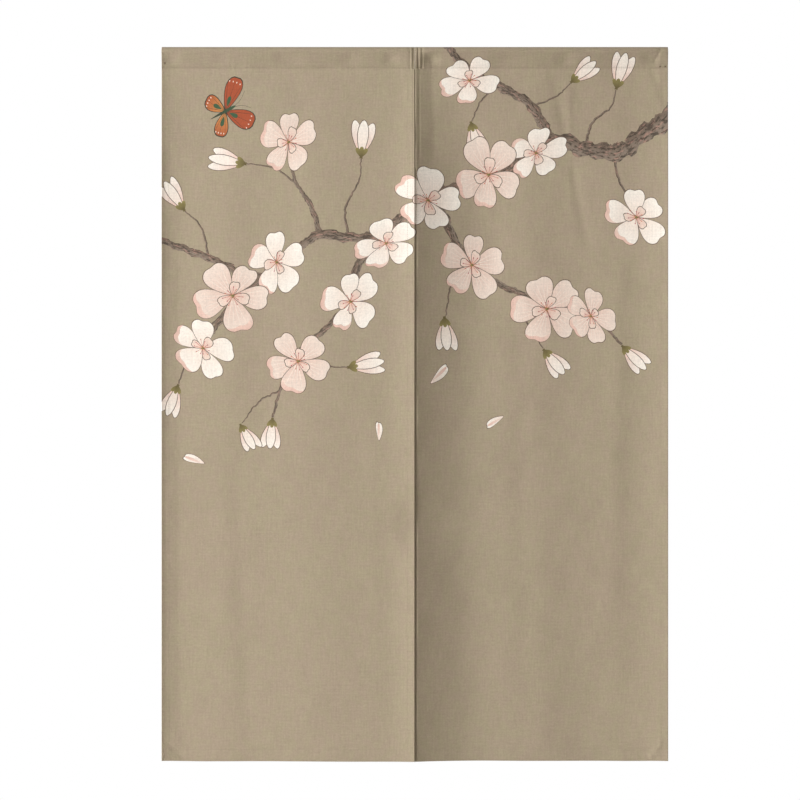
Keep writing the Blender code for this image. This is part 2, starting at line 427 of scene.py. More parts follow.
def clothFaces(panel, u, v):
    # Points and normals of both faces of the cloth, with its edges rounded as folded edges are
    def face(u, v):
        return facePlace(panel, u, v)

    def outOf(normal):
        # Straight out of the cloth without turning sideways, so that a steep turn doesn't close on itself
        upright = normal * (0.0, 1.0, 1.0)
        return upright / np.linalg.norm(upright, axis=1, keepdims=True)

    def reverse(u, v):
        return face(u, v) - outOf(normalOf(face, u, v)) * thicknessAt(panel, u, v)[:, None]

    faceNormal = normalOf(face, u, v)
    squeeze = outOf(faceNormal)
    reverseNormal = -normalOf(reverse, u, v)
    near = edgeDistance(panel, u, v)
    radius = thicknessAt(panel, u, v) / 2
    sine = np.clip(1.0 - near / radius, 0.0, 1.0)
    cosine = np.sqrt(1.0 - sine ** 2)
    inset = (radius * (1.0 - cosine))[:, None]
    step = cloth["normalStep"]
    slopeU = (edgeDistance(panel, u + step, v) - edgeDistance(panel, u - step, v)) / (2 * step)
    slopeV = (edgeDistance(panel, u, v + step) - edgeDistance(panel, u, v - step)) / (2 * step)
    across = face(u + step, v) - face(u - step, v)
    up = face(u, v + step) - face(u, v - step)
    outward = -(slopeU[:, None] * across + slopeV[:, None] * up)
    outward = outward / np.maximum(np.linalg.norm(outward, axis=1, keepdims=True), 1e-9)
    sine = sine[:, None]
    cosine = cosine[:, None]
    return (face(u, v) - squeeze * inset,
            faceNormal * cosine + outward * sine,
            reverse(u, v) + squeeze * inset,
            reverseNormal * cosine + outward * sine)


# The print: blossom boughs and a butterfly, laid out for this curtain, as places x and drop, and the
# painted shade under the bar tacks

inks = {
    "petalTip": (255, 249, 240),
    "petalBase": (246, 227, 215),
    "blushTip": (242, 226, 214),
    "blushBase": (232, 200, 186),
    "innerTip": (244, 225, 212),
    "innerBase": (232, 192, 178),
    "vein": (250, 242, 232),
    "line": (104, 84, 72),
    "stamenBase": (226, 150, 96),
    "stamenTip": (168, 22, 58),
    "anther": (196, 92, 50),
    "bark": (116, 100, 88),
    "twig": (96, 80, 70),
    "calyx": (150, 140, 84),
    "calyxDark": (104, 92, 58),
    "wingRust": (172, 78, 46),
    "wingGold": (214, 150, 84),
    "wingDark": (38, 44, 38),
    "wingGreen": (54, 88, 62),
    "wingSpot": (244, 236, 222),
    # Under the bar tacks: painted shade, with the dark colour of their dense thread
    "tackThreadAndShade": (112, 92, 70),
}

# Branches: places from root to tip, half width at the root and at the tip
boughs = [
    ([(0.440, 0.104), (0.388, 0.146), (0.338, 0.176), (0.286, 0.170), (0.236, 0.160), (0.188, 0.190),
      (0.132, 0.224), (0.078, 0.236), (0.026, 0.252), (-0.024, 0.292), (-0.072, 0.321), (-0.120, 0.318),
      (-0.166, 0.318), (-0.212, 0.352), (-0.257, 0.392), (-0.302, 0.428), (-0.340, 0.480)], 0.0155, 0.0045),
    ([(0.232, 0.162), (0.212, 0.122), (0.180, 0.086), (0.134, 0.062), (0.094, 0.040), (0.062, 0.008),
      (0.044, -0.036), (0.030, -0.090)], 0.0085, 0.0052),
    ([(-0.070, 0.322), (-0.096, 0.368), (-0.104, 0.420), (-0.142, 0.466), (-0.190, 0.508), (-0.222, 0.566),
      (-0.238, 0.622)], 0.0074, 0.0020),
    ([(0.030, 0.250), (0.056, 0.300), (0.086, 0.354), (0.130, 0.392), (0.180, 0.414), (0.228, 0.432),
      (0.272, 0.440), (0.314, 0.466), (0.348, 0.500)], 0.0078, 0.0020),
    ([(-0.252, 0.388), (-0.300, 0.376), (-0.350, 0.352), (-0.392, 0.338), (-0.440, 0.318)], 0.0066, 0.0056),
    ([(-0.160, 0.318), (-0.172, 0.272), (-0.200, 0.226), (-0.212, 0.172)], 0.0054, 0.0018),
]
twigs = [
    ([(-0.196, 0.232), (-0.236, 0.204), (-0.284, 0.196)], 0.0018, 0.0009),
    ([(0.138, 0.064), (0.112, 0.090), (0.096, 0.124)], 0.0020, 0.0010),
    ([(0.086, 0.354), (0.062, 0.398), (0.052, 0.452)], 0.0022, 0.0010),
    ([(0.334, 0.176), (0.344, 0.226), (0.372, 0.266)], 0.0026, 0.0011),
    ([(0.180, 0.414), (0.188, 0.462), (0.216, 0.506)], 0.0022, 0.0010),
    ([(-0.190, 0.508), (-0.150, 0.534), (-0.112, 0.538)], 0.0020, 0.0009),
    ([(-0.346, 0.354), (-0.358, 0.304), (-0.386, 0.276)], 0.0022, 0.0010),
    ([(-0.320, 0.448), (-0.372, 0.500), (-0.396, 0.566)], 0.0024, 0.0011),
    ([(-0.112, 0.319), (-0.116, 0.270), (-0.094, 0.226), (-0.090, 0.188)], 0.0024, 0.0009),
    ([(0.286, 0.170), (0.298, 0.128), (0.330, 0.100), (0.338, 0.072)], 0.0028, 0.0010),
    ([(-0.228, 0.578), (-0.262, 0.596), (-0.290, 0.632)], 0.0017, 0.0009),
    ([(0.196, 0.100), (0.236, 0.084), (0.262, 0.060)], 0.0020, 0.0009),
]

# Blossoms: x, drop, petal length, turn in degrees, tilt (1 is face on) and the tilt's direction
blossoms = [
    (0.204, 0.178, 0.054, 15, 0.80, 30),
    (0.124, 0.214, 0.062, 50, 0.92, 100),
    (0.022, 0.258, 0.060, 5, 0.86, 160),
    (-0.048, 0.330, 0.052, 38, 0.76, 20),
    (-0.232, 0.362, 0.055, 22, 0.84, 80),
    (-0.306, 0.418, 0.063, 60, 0.94, 10),
    (-0.356, 0.506, 0.056, 8, 0.80, 130),
    (-0.108, 0.428, 0.054, 30, 0.84, 60),
    (-0.196, 0.528, 0.059, 48, 0.90, 150),
    (0.096, 0.366, 0.058, 12, 0.88, 110),
    (0.222, 0.440, 0.061, 40, 0.90, 40),
    (0.296, 0.452, 0.050, 0, 0.74, 120),
    (-0.212, 0.160, 0.056, 20, 0.82, 70),
    (0.092, 0.056, 0.051, 55, 0.80, 20),
    (0.372, 0.286, 0.055, 26, 0.84, 140),
]

# Buds and loose petals: x, drop, length, direction of the tip in degrees from +X towards the top
buds = [
    (-0.286, 0.196, 0.061, 170),
    (0.095, 0.128, 0.056, -75),
    (0.050, 0.456, 0.059, -85),
    (0.218, 0.510, 0.056, -50),
    (-0.110, 0.538, 0.059, 10),
    (-0.388, 0.273, 0.058, 125),
    (-0.398, 0.570, 0.054, -110),
    (-0.090, 0.184, 0.064, 85),
    (0.339, 0.068, 0.061, 75),
    (0.350, 0.504, 0.054, -45),
    (-0.239, 0.626, 0.054, -95),
    (-0.292, 0.636, 0.049, -60),
    (0.264, 0.058, 0.054, 40),
]
loosePetals = [
    (0.026, 0.566, 0.044, 35),
    (-0.352, 0.700, 0.040, 150),
    (0.150, 0.620, 0.036, 200),
    (-0.060, 0.662, 0.034, 80),
]
butterfly = {"x": -0.318, "drop": 0.108, "size": 0.053, "turn": 24}

# Bar tacks at the pocket's ends, sewn, each with a dark spot of painted shade and thread colour under it:
# x, drop, half width, half height
tacks = [
    (-0.4195, 0.0270, 0.0013, 0.0020),
    (0.4120, 0.0335, 0.0014, 0.0019),
    (0.4205, 0.0335, 0.0015, 0.0017),
]

# How the motifs are drawn: most sizes are shares of a motif's length, leans and sways are in degrees,
# and a pair of limits, such as petalLength's, is for a random draw
branchForm = {
    "step": 0.0045,
    "jitter": 0.0006,
    "twigKnots": 0.5,
    "swell": ((0.16, 210, 1), (0.13, 83, 2)),       # height, rate and start of its waves
    "rough": 0.12,
}
petalForm = {
    "base": 0.26,                   # the width starts at this share and grows by the next
    "growth": 0.74,
    "fullness": 0.9,
    "notchWidth": 0.26,
    "notchFrom": 0.8,
    "points": 36,
    "line": 0.0012,                 # width of the printed outline
    "veinLeans": (-17, -6, 6, 17),
    "veinStart": 0.14,
    "veinReach": (0.70, 0.86),
    "veinHalf": (0.0004, 0.00015),
    "curlMiddle": 0.50,
    "curl": 0.30,
    "curlLine": 0.0008,
}
blossomForm = {
    "paleShare": 0.55,              # this share of the blossoms is paler
    "petalOrder": (0, 2, 4, 1, 3),
    "curledPetals": (2, 3),
    "petalLength": (0.90, 1.08),
    "petalWidth": (0.98, 1.14),
    "petalNotch": (0.05, 0.11),
    "petalBend": (-0.2, 0.2),
    "petalSway": (-7, 7),
    "petalGap": 0.04,
    "innerLength": (0.40, 0.50),
    "innerWidth": 0.95,
    "innerNotch": 0.06,
    "innerBend": (-0.3, 0.3),
    "innerSway": (-14, 14),
    "innerPoints": 16,
    "stamens": 11,
    "stamenSway": (-9, 9),
    "stamenReach": (0.16, 0.27),
    "stamenHalf": (0.00045, 0.00028),
    "antherSize": (0.0034, 0.0022),
    "antherInset": 0.0008,
    "heartSize": (0.11, 0.10),
}
budForm = {
    "petalLeans": (-0.55, 0.55, 0.0),
    "petalLength": (0.92, 1.04),
    "petalWidth": 0.52,
    "petalBend": 0.6,
    "petalTurn": 22,
    "closing": 0.45,                # how much the petals close towards their tips
    "petalPoints": 18,
    "sepalLeans": (-34, 34, 0),
    "sepalSize": (0.34, 0.17),
    "sepalInset": 0.08,
    "sepalReach": 0.3,
}
looseForm = {"tilt": 0.7, "tiltTurn": 20, "width": 0.72, "notch": 0.07, "bend": 0.35}
wingForm = {
    "tilt": 0.86,
    "tiltTurn": 70,
    "wings": (                      # heading, reach, width, inks at the base and the tip
        (-38, 0.86, 0.72, "wingGold", "wingRust"),
        (42, 1.18, 0.86, "wingRust", "wingRust"),
    ),
    "line": 0.0018,
    "veinLeans": (-16, 0, 16),
    "veinReach": 0.8,
    "veinHalf": (0.0004, 0.0002),
    "spotLeans": (-12, -4, 4, 12),
    "spotSize": (0.0030, 0.0026),
    "spotReach": 0.80,
    "patchSize": (0.34, 0.20),
    "patchStart": 0.16,
    "feeler": ((0.30, 0.0), (0.62, 0.10), (0.86, 0.30)),
    "feelerHalf": 0.0003,
    "bodySize": (0.98, 0.15),
    "bodyEnds": (-0.58, 0.40),
}

printSeed = 11
shapes = []


def linearColour(name):
    parts = []
    for value in inks[name]:
        share = value / 255
        parts.append(share / 12.92 if share <= 0.04045 else ((share + 0.055) / 1.055) ** 2.4)
    return np.array(parts)


def addShape(points, ink, tipInk=None, start=None, end=None, branch=None):
    # A printed shape, laid over those before it; its ink may change from start to end
    points = np.array(points, float)
    first = linearColour(ink)
    last = linearColour(tipInk) if tipInk else first
    start = points[0] if start is None else np.array(start, float)
    end = points[0] + (1.0, 0.0) if end is None else np.array(end, float)
    shapes.append({"points": points, "first": first, "last": last, "start": start, "end": end,
                   "branch": branch})


def smoothRoute(points, step):
    # A smooth line through the places, with a point every step
    points = np.array(points, float)
    padded = np.vstack((2 * points[0] - points[1], points, 2 * points[-1] - points[-2]))
    line = []
    for index in range(1, len(padded) - 2):
        p0, p1, p2, p3 = padded[index - 1:index + 3]
        count = max(2, round(float(np.hypot(*(p2 - p1))) / step))
        for share in np.arange(count) / count:
            line.append(0.5 * (2 * p1 + (p2 - p0) * share + (2 * p0 - 5 * p1 + 4 * p2 - p3) * share ** 2
                               + (3 * p1 - p0 - 3 * p2 + p3) * share ** 3))
    line.append(points[-1])
    return np.array(line)


def addBranch(points, rootHalf, tipHalf, ink, knots, draw):
    line = smoothRoute(points, branchForm["step"])
    if knots:
        jitter = branchForm["jitter"]
        line[1:-1] += np.array([(draw.gauss(0, jitter), draw.gauss(0, jitter)) for _ in line[1:-1]])
    run = np.concatenate(([0.0], np.cumsum(np.hypot(*np.diff(line, axis=0).T))))
    share = run / run[-1]
    half = rootHalf + (tipHalf - rootHalf) * share
    tangent = np.gradient(line, axis=0)
    tangent /= np.linalg.norm(tangent, axis=1, keepdims=True)
    aside = np.stack((-tangent[:, 1], tangent[:, 0]), axis=1)
    sides = []
    for side in (1.0, -1.0):
        rough = np.array([draw.uniform(-1, 1) for _ in line])
        waves = 0.0
        for height, rate, start in branchForm["swell"]:
            waves = waves + height * np.sin(run * rate + start * side)
        swell = 1.0 + knots * (waves + branchForm["rough"] * rough)
        sides.append(line + aside * (side * half * swell)[:, None])
    outline = np.vstack((sides[0], sides[1][::-1]))
    addShape(outline, ink, branch={"line": line, "run": run, "half": half, "aside": aside})


def petalOutline(length, width, notch, bend, count=petalForm["points"]):
    turn = np.arange(count) * math.tau / count
    along = 0.5 - 0.5 * np.cos(turn)
    aside = np.sin(turn) * (petalForm["base"] + petalForm["growth"] * along ** petalForm["fullness"])
    tip = np.exp(-(aside / petalForm["notchWidth"]) ** 2) * (along > petalForm["notchFrom"])
    return np.stack(((along - notch * tip) * length, (aside + bend * along ** 2) * width / 2), axis=1)


def strip(start, reach, startHalf, reachHalf):
    # A thin stroke that narrows from start to reach
    return np.array(((start, -startHalf), (reach, -reachHalf), (reach, reachHalf), (start, startHalf)))


def shrunk(points, inset):
    low = points.min(0)
    high = points.max(0)
    centre = (low + high) / 2
    return centre + (points - centre) * np.maximum(0.1, 1.0 - 2 * inset / (high - low))


def turned(points, degrees):
    turn = math.radians(degrees)
    across = (math.cos(turn), math.sin(turn))
    return np.array(points) @ np.array((across, (-across[1], across[0])))


def onCloth(points, x, drop, tilt=1.0, tiltTurn=0.0):
    # From a motif's own places, with Y towards the top, to the cloth; tilt squeezes it along one direction
    points = turned(points, -tiltTurn) * (1.0, tilt)
    return turned(points, tiltTurn) * (1.0, -1.0) + (x, drop)


def addAlong(outline, heading, place, base, tip, reach):
    # A shape turned to its heading, whose ink changes from the motif's middle out to its reach
    ends = place(turned(((0.0, 0.0), (reach, 0.0)), heading))
    addShape(place(turned(outline, heading)), base, tip, *ends)


def addPetal(outline, heading, place, base, tip):
    # An outline with the petal's own colour inside it, from its base to its tip
    addShape(place(turned(outline, heading)), "line")
    addAlong(shrunk(outline, petalForm["line"]), heading, place, base, tip, outline[:, 0].max())


def veins(long, heading, place, draw):
    # Pale strokes from a petal's base towards its tip
    for lean in petalForm["veinLeans"]:
        reach = long * draw.uniform(*petalForm["veinReach"])
        stroke = strip(petalForm["veinStart"] * long, reach, *petalForm["veinHalf"])
        addShape(place(turned(stroke, heading + lean)), "vein")


def addTurnedEdge(outline, heading, place, long, side):
    # A crescent along one side of the tip, where the petal curls over
    edge = outline[9:24] if side > 0 else outline[-23:-8]
    share = np.linspace(0.0, 1.0, len(edge))[:, None]
    middle = np.array((petalForm["curlMiddle"] * long, 0.0))
    curled = edge + (middle - edge) * petalForm["curl"] * np.sin(math.pi * share) ** 0.8
    crescent = turned(np.vstack((edge, curled[::-1][1:-1])), heading)
    ends = place(turned((middle, (long, 0.0)), heading))
    addShape(place(crescent), "line")
    addShape(place(shrunk(crescent, petalForm["curlLine"])), "innerTip", "innerBase", *ends)


def addBlossom(blossom, draw):
    x, drop, length, turn, tilt, tiltTurn = blossom
    form = blossomForm
    isPale = draw.random() < form["paleShare"]
    colours = ("petalBase", "petalTip") if isPale else ("blushBase", "blushTip")

    def place(points):
        return onCloth(points, x, drop, tilt, tiltTurn)

    for petal in form["petalOrder"]:
        long = length * draw.uniform(*form["petalLength"])
        wide = long * draw.uniform(*form["petalWidth"])
        notch = draw.uniform(*form["petalNotch"])
        outline = petalOutline(long, wide, notch, draw.uniform(*form["petalBend"]))
        outline[:, 0] += form["petalGap"] * length
        heading = turn + 72 * petal + draw.uniform(*form["petalSway"])
        addPetal(outline, heading, place, *colours)
        veins(long, heading, place, draw)
        if petal in form["curledPetals"]:
            addTurnedEdge(outline, heading, place, long, draw.choice((1, -1)))
    for petal in range(3):
        long = length * draw.uniform(*form["innerLength"])
        bend = draw.uniform(*form["innerBend"])
        wide = long * form["innerWidth"]
        outline = petalOutline(long, wide, form["innerNotch"], bend, form["innerPoints"])
        heading = turn + 36 + 120 * petal + draw.uniform(*form["innerSway"])
        addPetal(outline, heading, place, "innerBase", "innerTip")
    for stamen in range(form["stamens"]):
        heading = turn + 360 / form["stamens"] * stamen + draw.uniform(*form["stamenSway"])
        reach = length * draw.uniform(*form["stamenReach"])
        addAlong(strip(0.0, reach, *form["stamenHalf"]), heading, place, "stamenBase", "stamenTip", reach)
        anther = petalOutline(*form["antherSize"], 0.0, 0.0, 8) + (reach - form["antherInset"], 0.0)
        addShape(place(turned(anther, heading)), "stamenTip" if stamen % 3 else "anther")
    long, wide = form["heartSize"]
    heart = petalOutline(length * long, length * wide, 0.0, 0.0, 12) - (length * 0.055, 0.0)
    addShape(place(heart), "calyx", "calyxDark", place(heart[:1])[0], place(heart[6:7])[0])


def addBud(bud, draw):
    x, drop, length, heading = bud
    form = budForm

    def place(points):
        return onCloth(turned(points, heading), x, drop)

    for lean in form["petalLeans"]:
        long = length * draw.uniform(*form["petalLength"])
        bend = lean * form["petalBend"]
        outline = petalOutline(long, length * form["petalWidth"], 0.0, bend, form["petalPoints"])
        outline[:, 1] *= 1.0 - form["closing"] * (outline[:, 0] / length) ** 2
        base = "innerBase" if lean else "petalBase"
        addPetal(outline, lean * form["petalTurn"], place, base, "petalTip")
    long, wide = form["sepalSize"]
    for lean in form["sepalLeans"]:
        sepal = petalOutline(length * long, length * wide, 0.0, 0.0, 10)
        sepal[:, 0] -= length * form["sepalInset"]
        addAlong(sepal, lean, place, "calyxDark", "calyx", length * form["sepalReach"])


def addLoosePetal(petal):
    x, drop, length, heading = petal
    form = looseForm

    def place(points):
        return onCloth(turned(points, heading), x, drop, form["tilt"], heading + form["tiltTurn"])

    outline = petalOutline(length, length * form["width"], form["notch"], form["bend"])
    addPetal(outline, 0.0, place, "petalBase", "petalTip")
    fold = petalOutline(length * 0.8, length * 0.22, 0.0, 0.5, 14) + (length * 0.1, length * 0.06)
    addShape(place(fold), "innerTip", "innerBase", place(fold[:1])[0], place(fold[7:8])[0])


def addButterfly():
    size = butterfly["size"]
    form = wingForm

    def place(points):
        points = turned(points, butterfly["turn"])
        return onCloth(points, butterfly["x"], butterfly["drop"], form["tilt"], form["tiltTurn"])

    for side in (1.0, -1.0):
        def wing(points):
            return place(points * (1.0, side))

        for heading, reach, width, base, tip in form["wings"]:
            turn = 90 - heading
            outline = turned(petalOutline(size * reach, size * width, 0.03, -0.1, 22), turn)
            ends = wing(turned(((0.0, 0.0), (size * reach, 0.0)), turn))
            addShape(wing(outline), "wingDark")
            addShape(wing(shrunk(outline, form["line"])), base, tip, *ends)
            for vein in form["veinLeans"]:
                stroke = strip(0.0, form["veinReach"], *form["veinHalf"]) * (size * reach, 1.0)
                addShape(wing(turned(stroke, turn + vein)), "wingDark")
            for spot in form["spotLeans"]:
                dot = petalOutline(*form["spotSize"], 0.0, 0.0, 8) + (size * reach * form["spotReach"], 0.0)
                addShape(wing(turned(dot, turn + spot)), "wingSpot")
            long, wide = form["patchSize"]
            patch = petalOutline(size * long, size * wide, 0.0, 0.0, 12) + (size * form["patchStart"], 0.0)
            addShape(wing(turned(patch, turn)), "wingGreen")
        feeler = smoothRoute([(size * u, size * v) for u, v in form["feeler"]], 0.003)
        half = (0.0, form["feelerHalf"])
        addShape(wing(np.vstack((feeler + half, feeler[::-1] - half))), "wingDark")
    long, wide = form["bodySize"]
    back, front = form["bodyEnds"]
    body = petalOutline(size * long, size * wide, 0.0, 0.0, 18) + (size * back, 0.0)
    ends = place(np.array(((size * back, 0.0), (size * front, 0.0))))
    addShape(place(body), "wingDark", "wingGreen", *ends)


def drawPrint():
    draw = random.Random(printSeed)
    for points, rootHalf, tipHalf in twigs:
        addBranch(points, rootHalf, tipHalf, "twig", branchForm["twigKnots"], draw)
    for points, rootHalf, tipHalf in reversed(boughs):
        addBranch(points, rootHalf, tipHalf, "bark", 1.0, draw)
    for bud in buds:
        addBud(bud, draw)
    for blossom in blossoms:
        addBlossom(blossom, draw)
    for petal in loosePetals:
        addLoosePetal(petal)
    addButterfly()
    # Dark spots under the bar tacks: painted shade, with the dark colour of their dense thread
    turn = np.arange(10) * math.tau / 10
    for x, drop, halfWidth, halfHeight in tacks:
        addShape(np.stack((x + halfWidth * np.cos(turn), drop + halfHeight * np.sin(turn)), axis=1), "tackThreadAndShade")
    print("print drawn:", len(shapes), "shapes")


def branchPlaces(branch, points):
    # Along a branch in metres, and across it from -1 to 1
    gaps = np.linalg.norm(points[:, None, :] - branch["line"][None, :, :], axis=2)
    nearest = gaps.argmin(1)
    offset = points - branch["line"][nearest]
    aside = branch["aside"][nearest]
    across = (offset * aside).sum(1) / branch["half"][nearest]
    along = branch["run"][nearest] + offset[:, 0] * aside[:, 1] - offset[:, 1] * aside[:, 0]
    return along, np.clip(across, -1.5, 1.5)


# Making each sheet: its flat outline is cut up along the print's edges, then hung

sheetSettings = {
    "edgeLines": (0.00017, 0.0005, 0.00105, 0.0024),     # from an edge inwards, for its roundness
    "sideColumns": (0.0065, 0.0105),                     # the same way, inside the hems
    "bottomRows": (0.007, 0.013, 0.0185),
    "aboveBottomHem": 0.006,
    "seamRows": (-0.004, -0.002, 0.0),                   # from the seam
    "stitchedRows": (-0.0008, 0.0, 0.0008),              # from its stitches
    "besideJoin": (0.0034, 0.0340, 0.0012),              # finer columns from here to there, and their step
    "columnGap": 0.003,
    "leastGap": 0.0006,              # lines of the grid that would lie closer are left out
    "edgeGap": 0.001,
    "leastInset": 0.0001,
    "outlineStep": 0.0024,
    "printStep": 0.0060,             # between points along the print's edges, and finer near the top
    "printStepAtTop": 0.0030,
    "topZone": 0.060,
    "mesh": 1000.0,                  # the flat cut is worked out in millimetres
    "barkShift": 0.37,               # so that no two branches have the same strokes
    "showThrough": 0.11,             # how much of the print shows on the reverse
    "thinBelow": 1.2,                # and only where the cloth is thinner than this many times its own
    "edgeDarkReach": 0.0022,
    "seamDarkening": 0.7,
    "seamDarkReach": 0.0016,
    "faceShare": 0.62,               # of the bake's width
    "bakeMargin": 0.006,
}


def spread(low, high, step):
    return np.linspace(low, high, max(2, round((high - low) / step) + 1))


def hemLines(width):
    return (width, width + cloth["hemStep"])


def apart(values, others):
    # The values that aren't too close to any of the others
    least = sheetSettings["leastGap"]
    return [value for value in values if min(abs(value - other) for other in others) > least]


def gridPlaces(panel):
    low, high = panel["low"], panel["high"]
    edges = np.array(sheetSettings["edgeLines"])
    gap = sheetSettings["edgeGap"]
    sideLines = np.concatenate((edges, sheetSettings["sideColumns"], hemLines(cloth["sideHem"])))
    bottomLines = np.concatenate((edges, sheetSettings["bottomRows"], hemLines(cloth["bottomHem"])))
    endLines = np.concatenate((edges, hemLines(pocket["turnedIn"])))
    fieldTop = seamV - cloth["headerRun"]
    fieldStart = bottomLines[-1] + sheetSettings["aboveBottomHem"]
    fieldRows = np.concatenate((bottomLines, spread(fieldStart, fieldTop, cloth["rowStep"])))
    seamRows = [seamV + row for row in sheetSettings["seamRows"]]
    seamRows += [stitchedV + row for row in sheetSettings["stitchedRows"]]
    rowStep = cloth["headerRowStep"]
    headerRows = spread(fieldTop + rowStep, endV - endLines[-1] - gap, rowStep)
    headerRows = np.concatenate((apart(headerRows, seamRows), seamRows, endV - endLines))
    inner = sideLines[-1] + sheetSettings["columnGap"]
    places = []
    for rows, step in ((fieldRows, cloth["columnStep"]), (headerRows, cloth["headerColumnStep"])):
        middle = spread(low + inner, high - inner, step)
        columns = np.concatenate((low + sideLines, middle, high - sideLines))
        if panel["notch"]:
            beside = apart(spread(*sheetSettings["besideJoin"]), columns)
            columns = np.concatenate((columns, beside, panel["notch"][0] + edges))
        if rows is headerRows:
            pressed = [x + aside for x, width, _ in joinCreases for aside in (-width, 0.0, width)]
            columns = np.concatenate((columns, [x for x in pressed if low + gap < x < high - gap]))
        acrossAll, upAll = np.meshgrid(np.unique(columns.round(6)), rows)
        places.append(np.stack((acrossAll.ravel(), upAll.ravel()), axis=1))
    places = np.vstack(places)
    return places[edgeDistance(panel, places[:, 0], places[:, 1]) > sheetSettings["leastInset"]]


def closeSet(corners, step):
    # The same closed line with points no farther apart than the step, so that it can follow the folds
    corners = np.array(corners)
    points = []
    for start, end in zip(corners, np.roll(corners, -1, axis=0)):
        count = max(1, math.ceil(math.hypot(*(end - start)) / step))
        points.extend(start + (end - start) * share for share in np.arange(count) / count)
    return np.array(points)


def outlineOf(panel):
    low, high = panel["low"], panel["high"]
    corners = [(low, 0.0), (high, 0.0), (high, endV), (low, endV)]
    if panel["notch"]:
        notchU, notchFrom = panel["notch"]
        corners = corners[:3] + [(notchU, endV), (notchU, notchFrom), (low, notchFrom)]
    return closeSet(corners, sheetSettings["outlineStep"])


def guideLines(panel):
    # Lines that stay whole in the cut: the rounded edges and the steps of the hems
    low, high = panel["low"], panel["high"]
    top = panel["notch"][1] if panel["notch"] else endV
    edges = sheetSettings["edgeLines"][:3]
    lines = []
    for inset in (*edges, *hemLines(cloth["sideHem"])):
        lines.append(((low + inset, 0.0), (low + inset, top)))
        lines.append(((high - inset, 0.0), (high - inset, endV)))
    for inset in (*edges, *hemLines(cloth["bottomHem"])):
        lines.append(((low, inset), (high, inset)))
    for inset in (*edges, *hemLines(pocket["turnedIn"])):
        lines.append(((low, endV - inset), (high, endV - inset)))
    if panel["notch"]:
        notchU, notchFrom = panel["notch"]
        for inset in edges:
            lines.append(((notchU + inset, notchFrom), (notchU + inset, endV)))
            lines.append(((low, notchFrom - inset), (notchU, notchFrom - inset)))
    return lines


def cutFlat(panel):
    # Triangles of the flat cloth, and the shape that each one shows, or -1 for bare cloth
    scale = sheetSettings["mesh"]
    points = []
    edges = []
    faces = []
    shapeOfFace = [-1]

    def addFace(corners):
        start = len(points)
        points.extend(Vector((float(u) * scale, float(v) * scale)) for u, v in corners)
        faces.append(list(range(start, len(points))))

    addFace(outlineOf(panel))
    for index, shape in enumerate(shapes):
        flat = shape["points"] * (1.0, -1.0) + (0.0, curtain["height"])
        if flat[:, 0].max() < panel["low"] or flat[:, 0].min() > panel["high"]:
            continue
        follow = np.roll(flat, -1, axis=0)
        if (flat[:, 0] * follow[:, 1] - flat[:, 1] * follow[:, 0]).sum() < 0.0:
            flat = flat[::-1]               # the cut reads a shape's corners counter-clockwise
        atTop = flat[:, 1].max() > curtain["height"] - sheetSettings["topZone"]
        addFace(closeSet(flat, sheetSettings["printStepAtTop" if atTop else "printStep"]))
        shapeOfFace.append(index)
    for start, end in guideLines(panel):
        edges.append((len(points), len(points) + 1))
        points.extend(Vector((u * scale, v * scale)) for u, v in (start, end))
    points.extend(Vector((u * scale, v * scale)) for u, v in gridPlaces(panel))
    found = delaunay_2d_cdt(points, edges, faces, 0, 1e-5, True)
    flat = np.array([tuple(point) for point in found[0]]) / scale
    triangles = []
    shown = []
    for corners, origins in zip(found[2], found[5]):
        if 0 in origins:
            triangles.append(corners)
            shown.append(shapeOfFace[max(origins)])
    triangles = np.array(triangles)
    used, packed = np.unique(triangles, return_inverse=True)
    return flat[used], packed.reshape(-1, 3), np.array(shown)


def cornerInks(flat, triangles, shown):
    # Ink colour, whether there is ink, and the place on a branch, for every corner of every triangle
    ink = np.zeros((len(triangles) * 3, 4))
    bark = np.zeros((len(triangles) * 3, 3))
    corners = flat[triangles.ravel()] * (1.0, -1.0) + (0.0, curtain["height"])
    shownCorners = np.repeat(shown, 3)
    for index in np.unique(shown[shown >= 0]):
        shape = shapes[index]
        mine = shownCorners == index
        places = corners[mine]
        axis = shape["end"] - shape["start"]
        share = np.clip((places - shape["start"]) @ axis / (axis @ axis), 0.0, 1.0)[:, None]
        ink[mine, :3] = shape["first"] + (shape["last"] - shape["first"]) * share
        ink[mine, 3] = 1.0
        if shape["branch"]:
            along, across = branchPlaces(shape["branch"], places)
            along = along + sheetSettings["barkShift"] * index
            bark[mine] = np.stack((along, across, np.ones(len(along))), axis=1)
    return ink, bark


def addAttribute(mesh, name, kind, domain, values):
    field = {"FLOAT_COLOR": "color", "FLOAT_VECTOR": "vector", "FLOAT": "value"}[kind]
    mesh.attributes.new(name, kind, domain)
    mesh.attributes[name].data.foreach_set(field, values.ravel())


def addUv(mesh, name, values):
    mesh.uv_layers.new(name=name)
    mesh.uv_layers[name].data.foreach_set("uv", values.ravel())


def addObject(name, data):
    made = bpy.data.objects.new(name, data)
    bpy.context.scene.collection.objects.link(made)
    return made


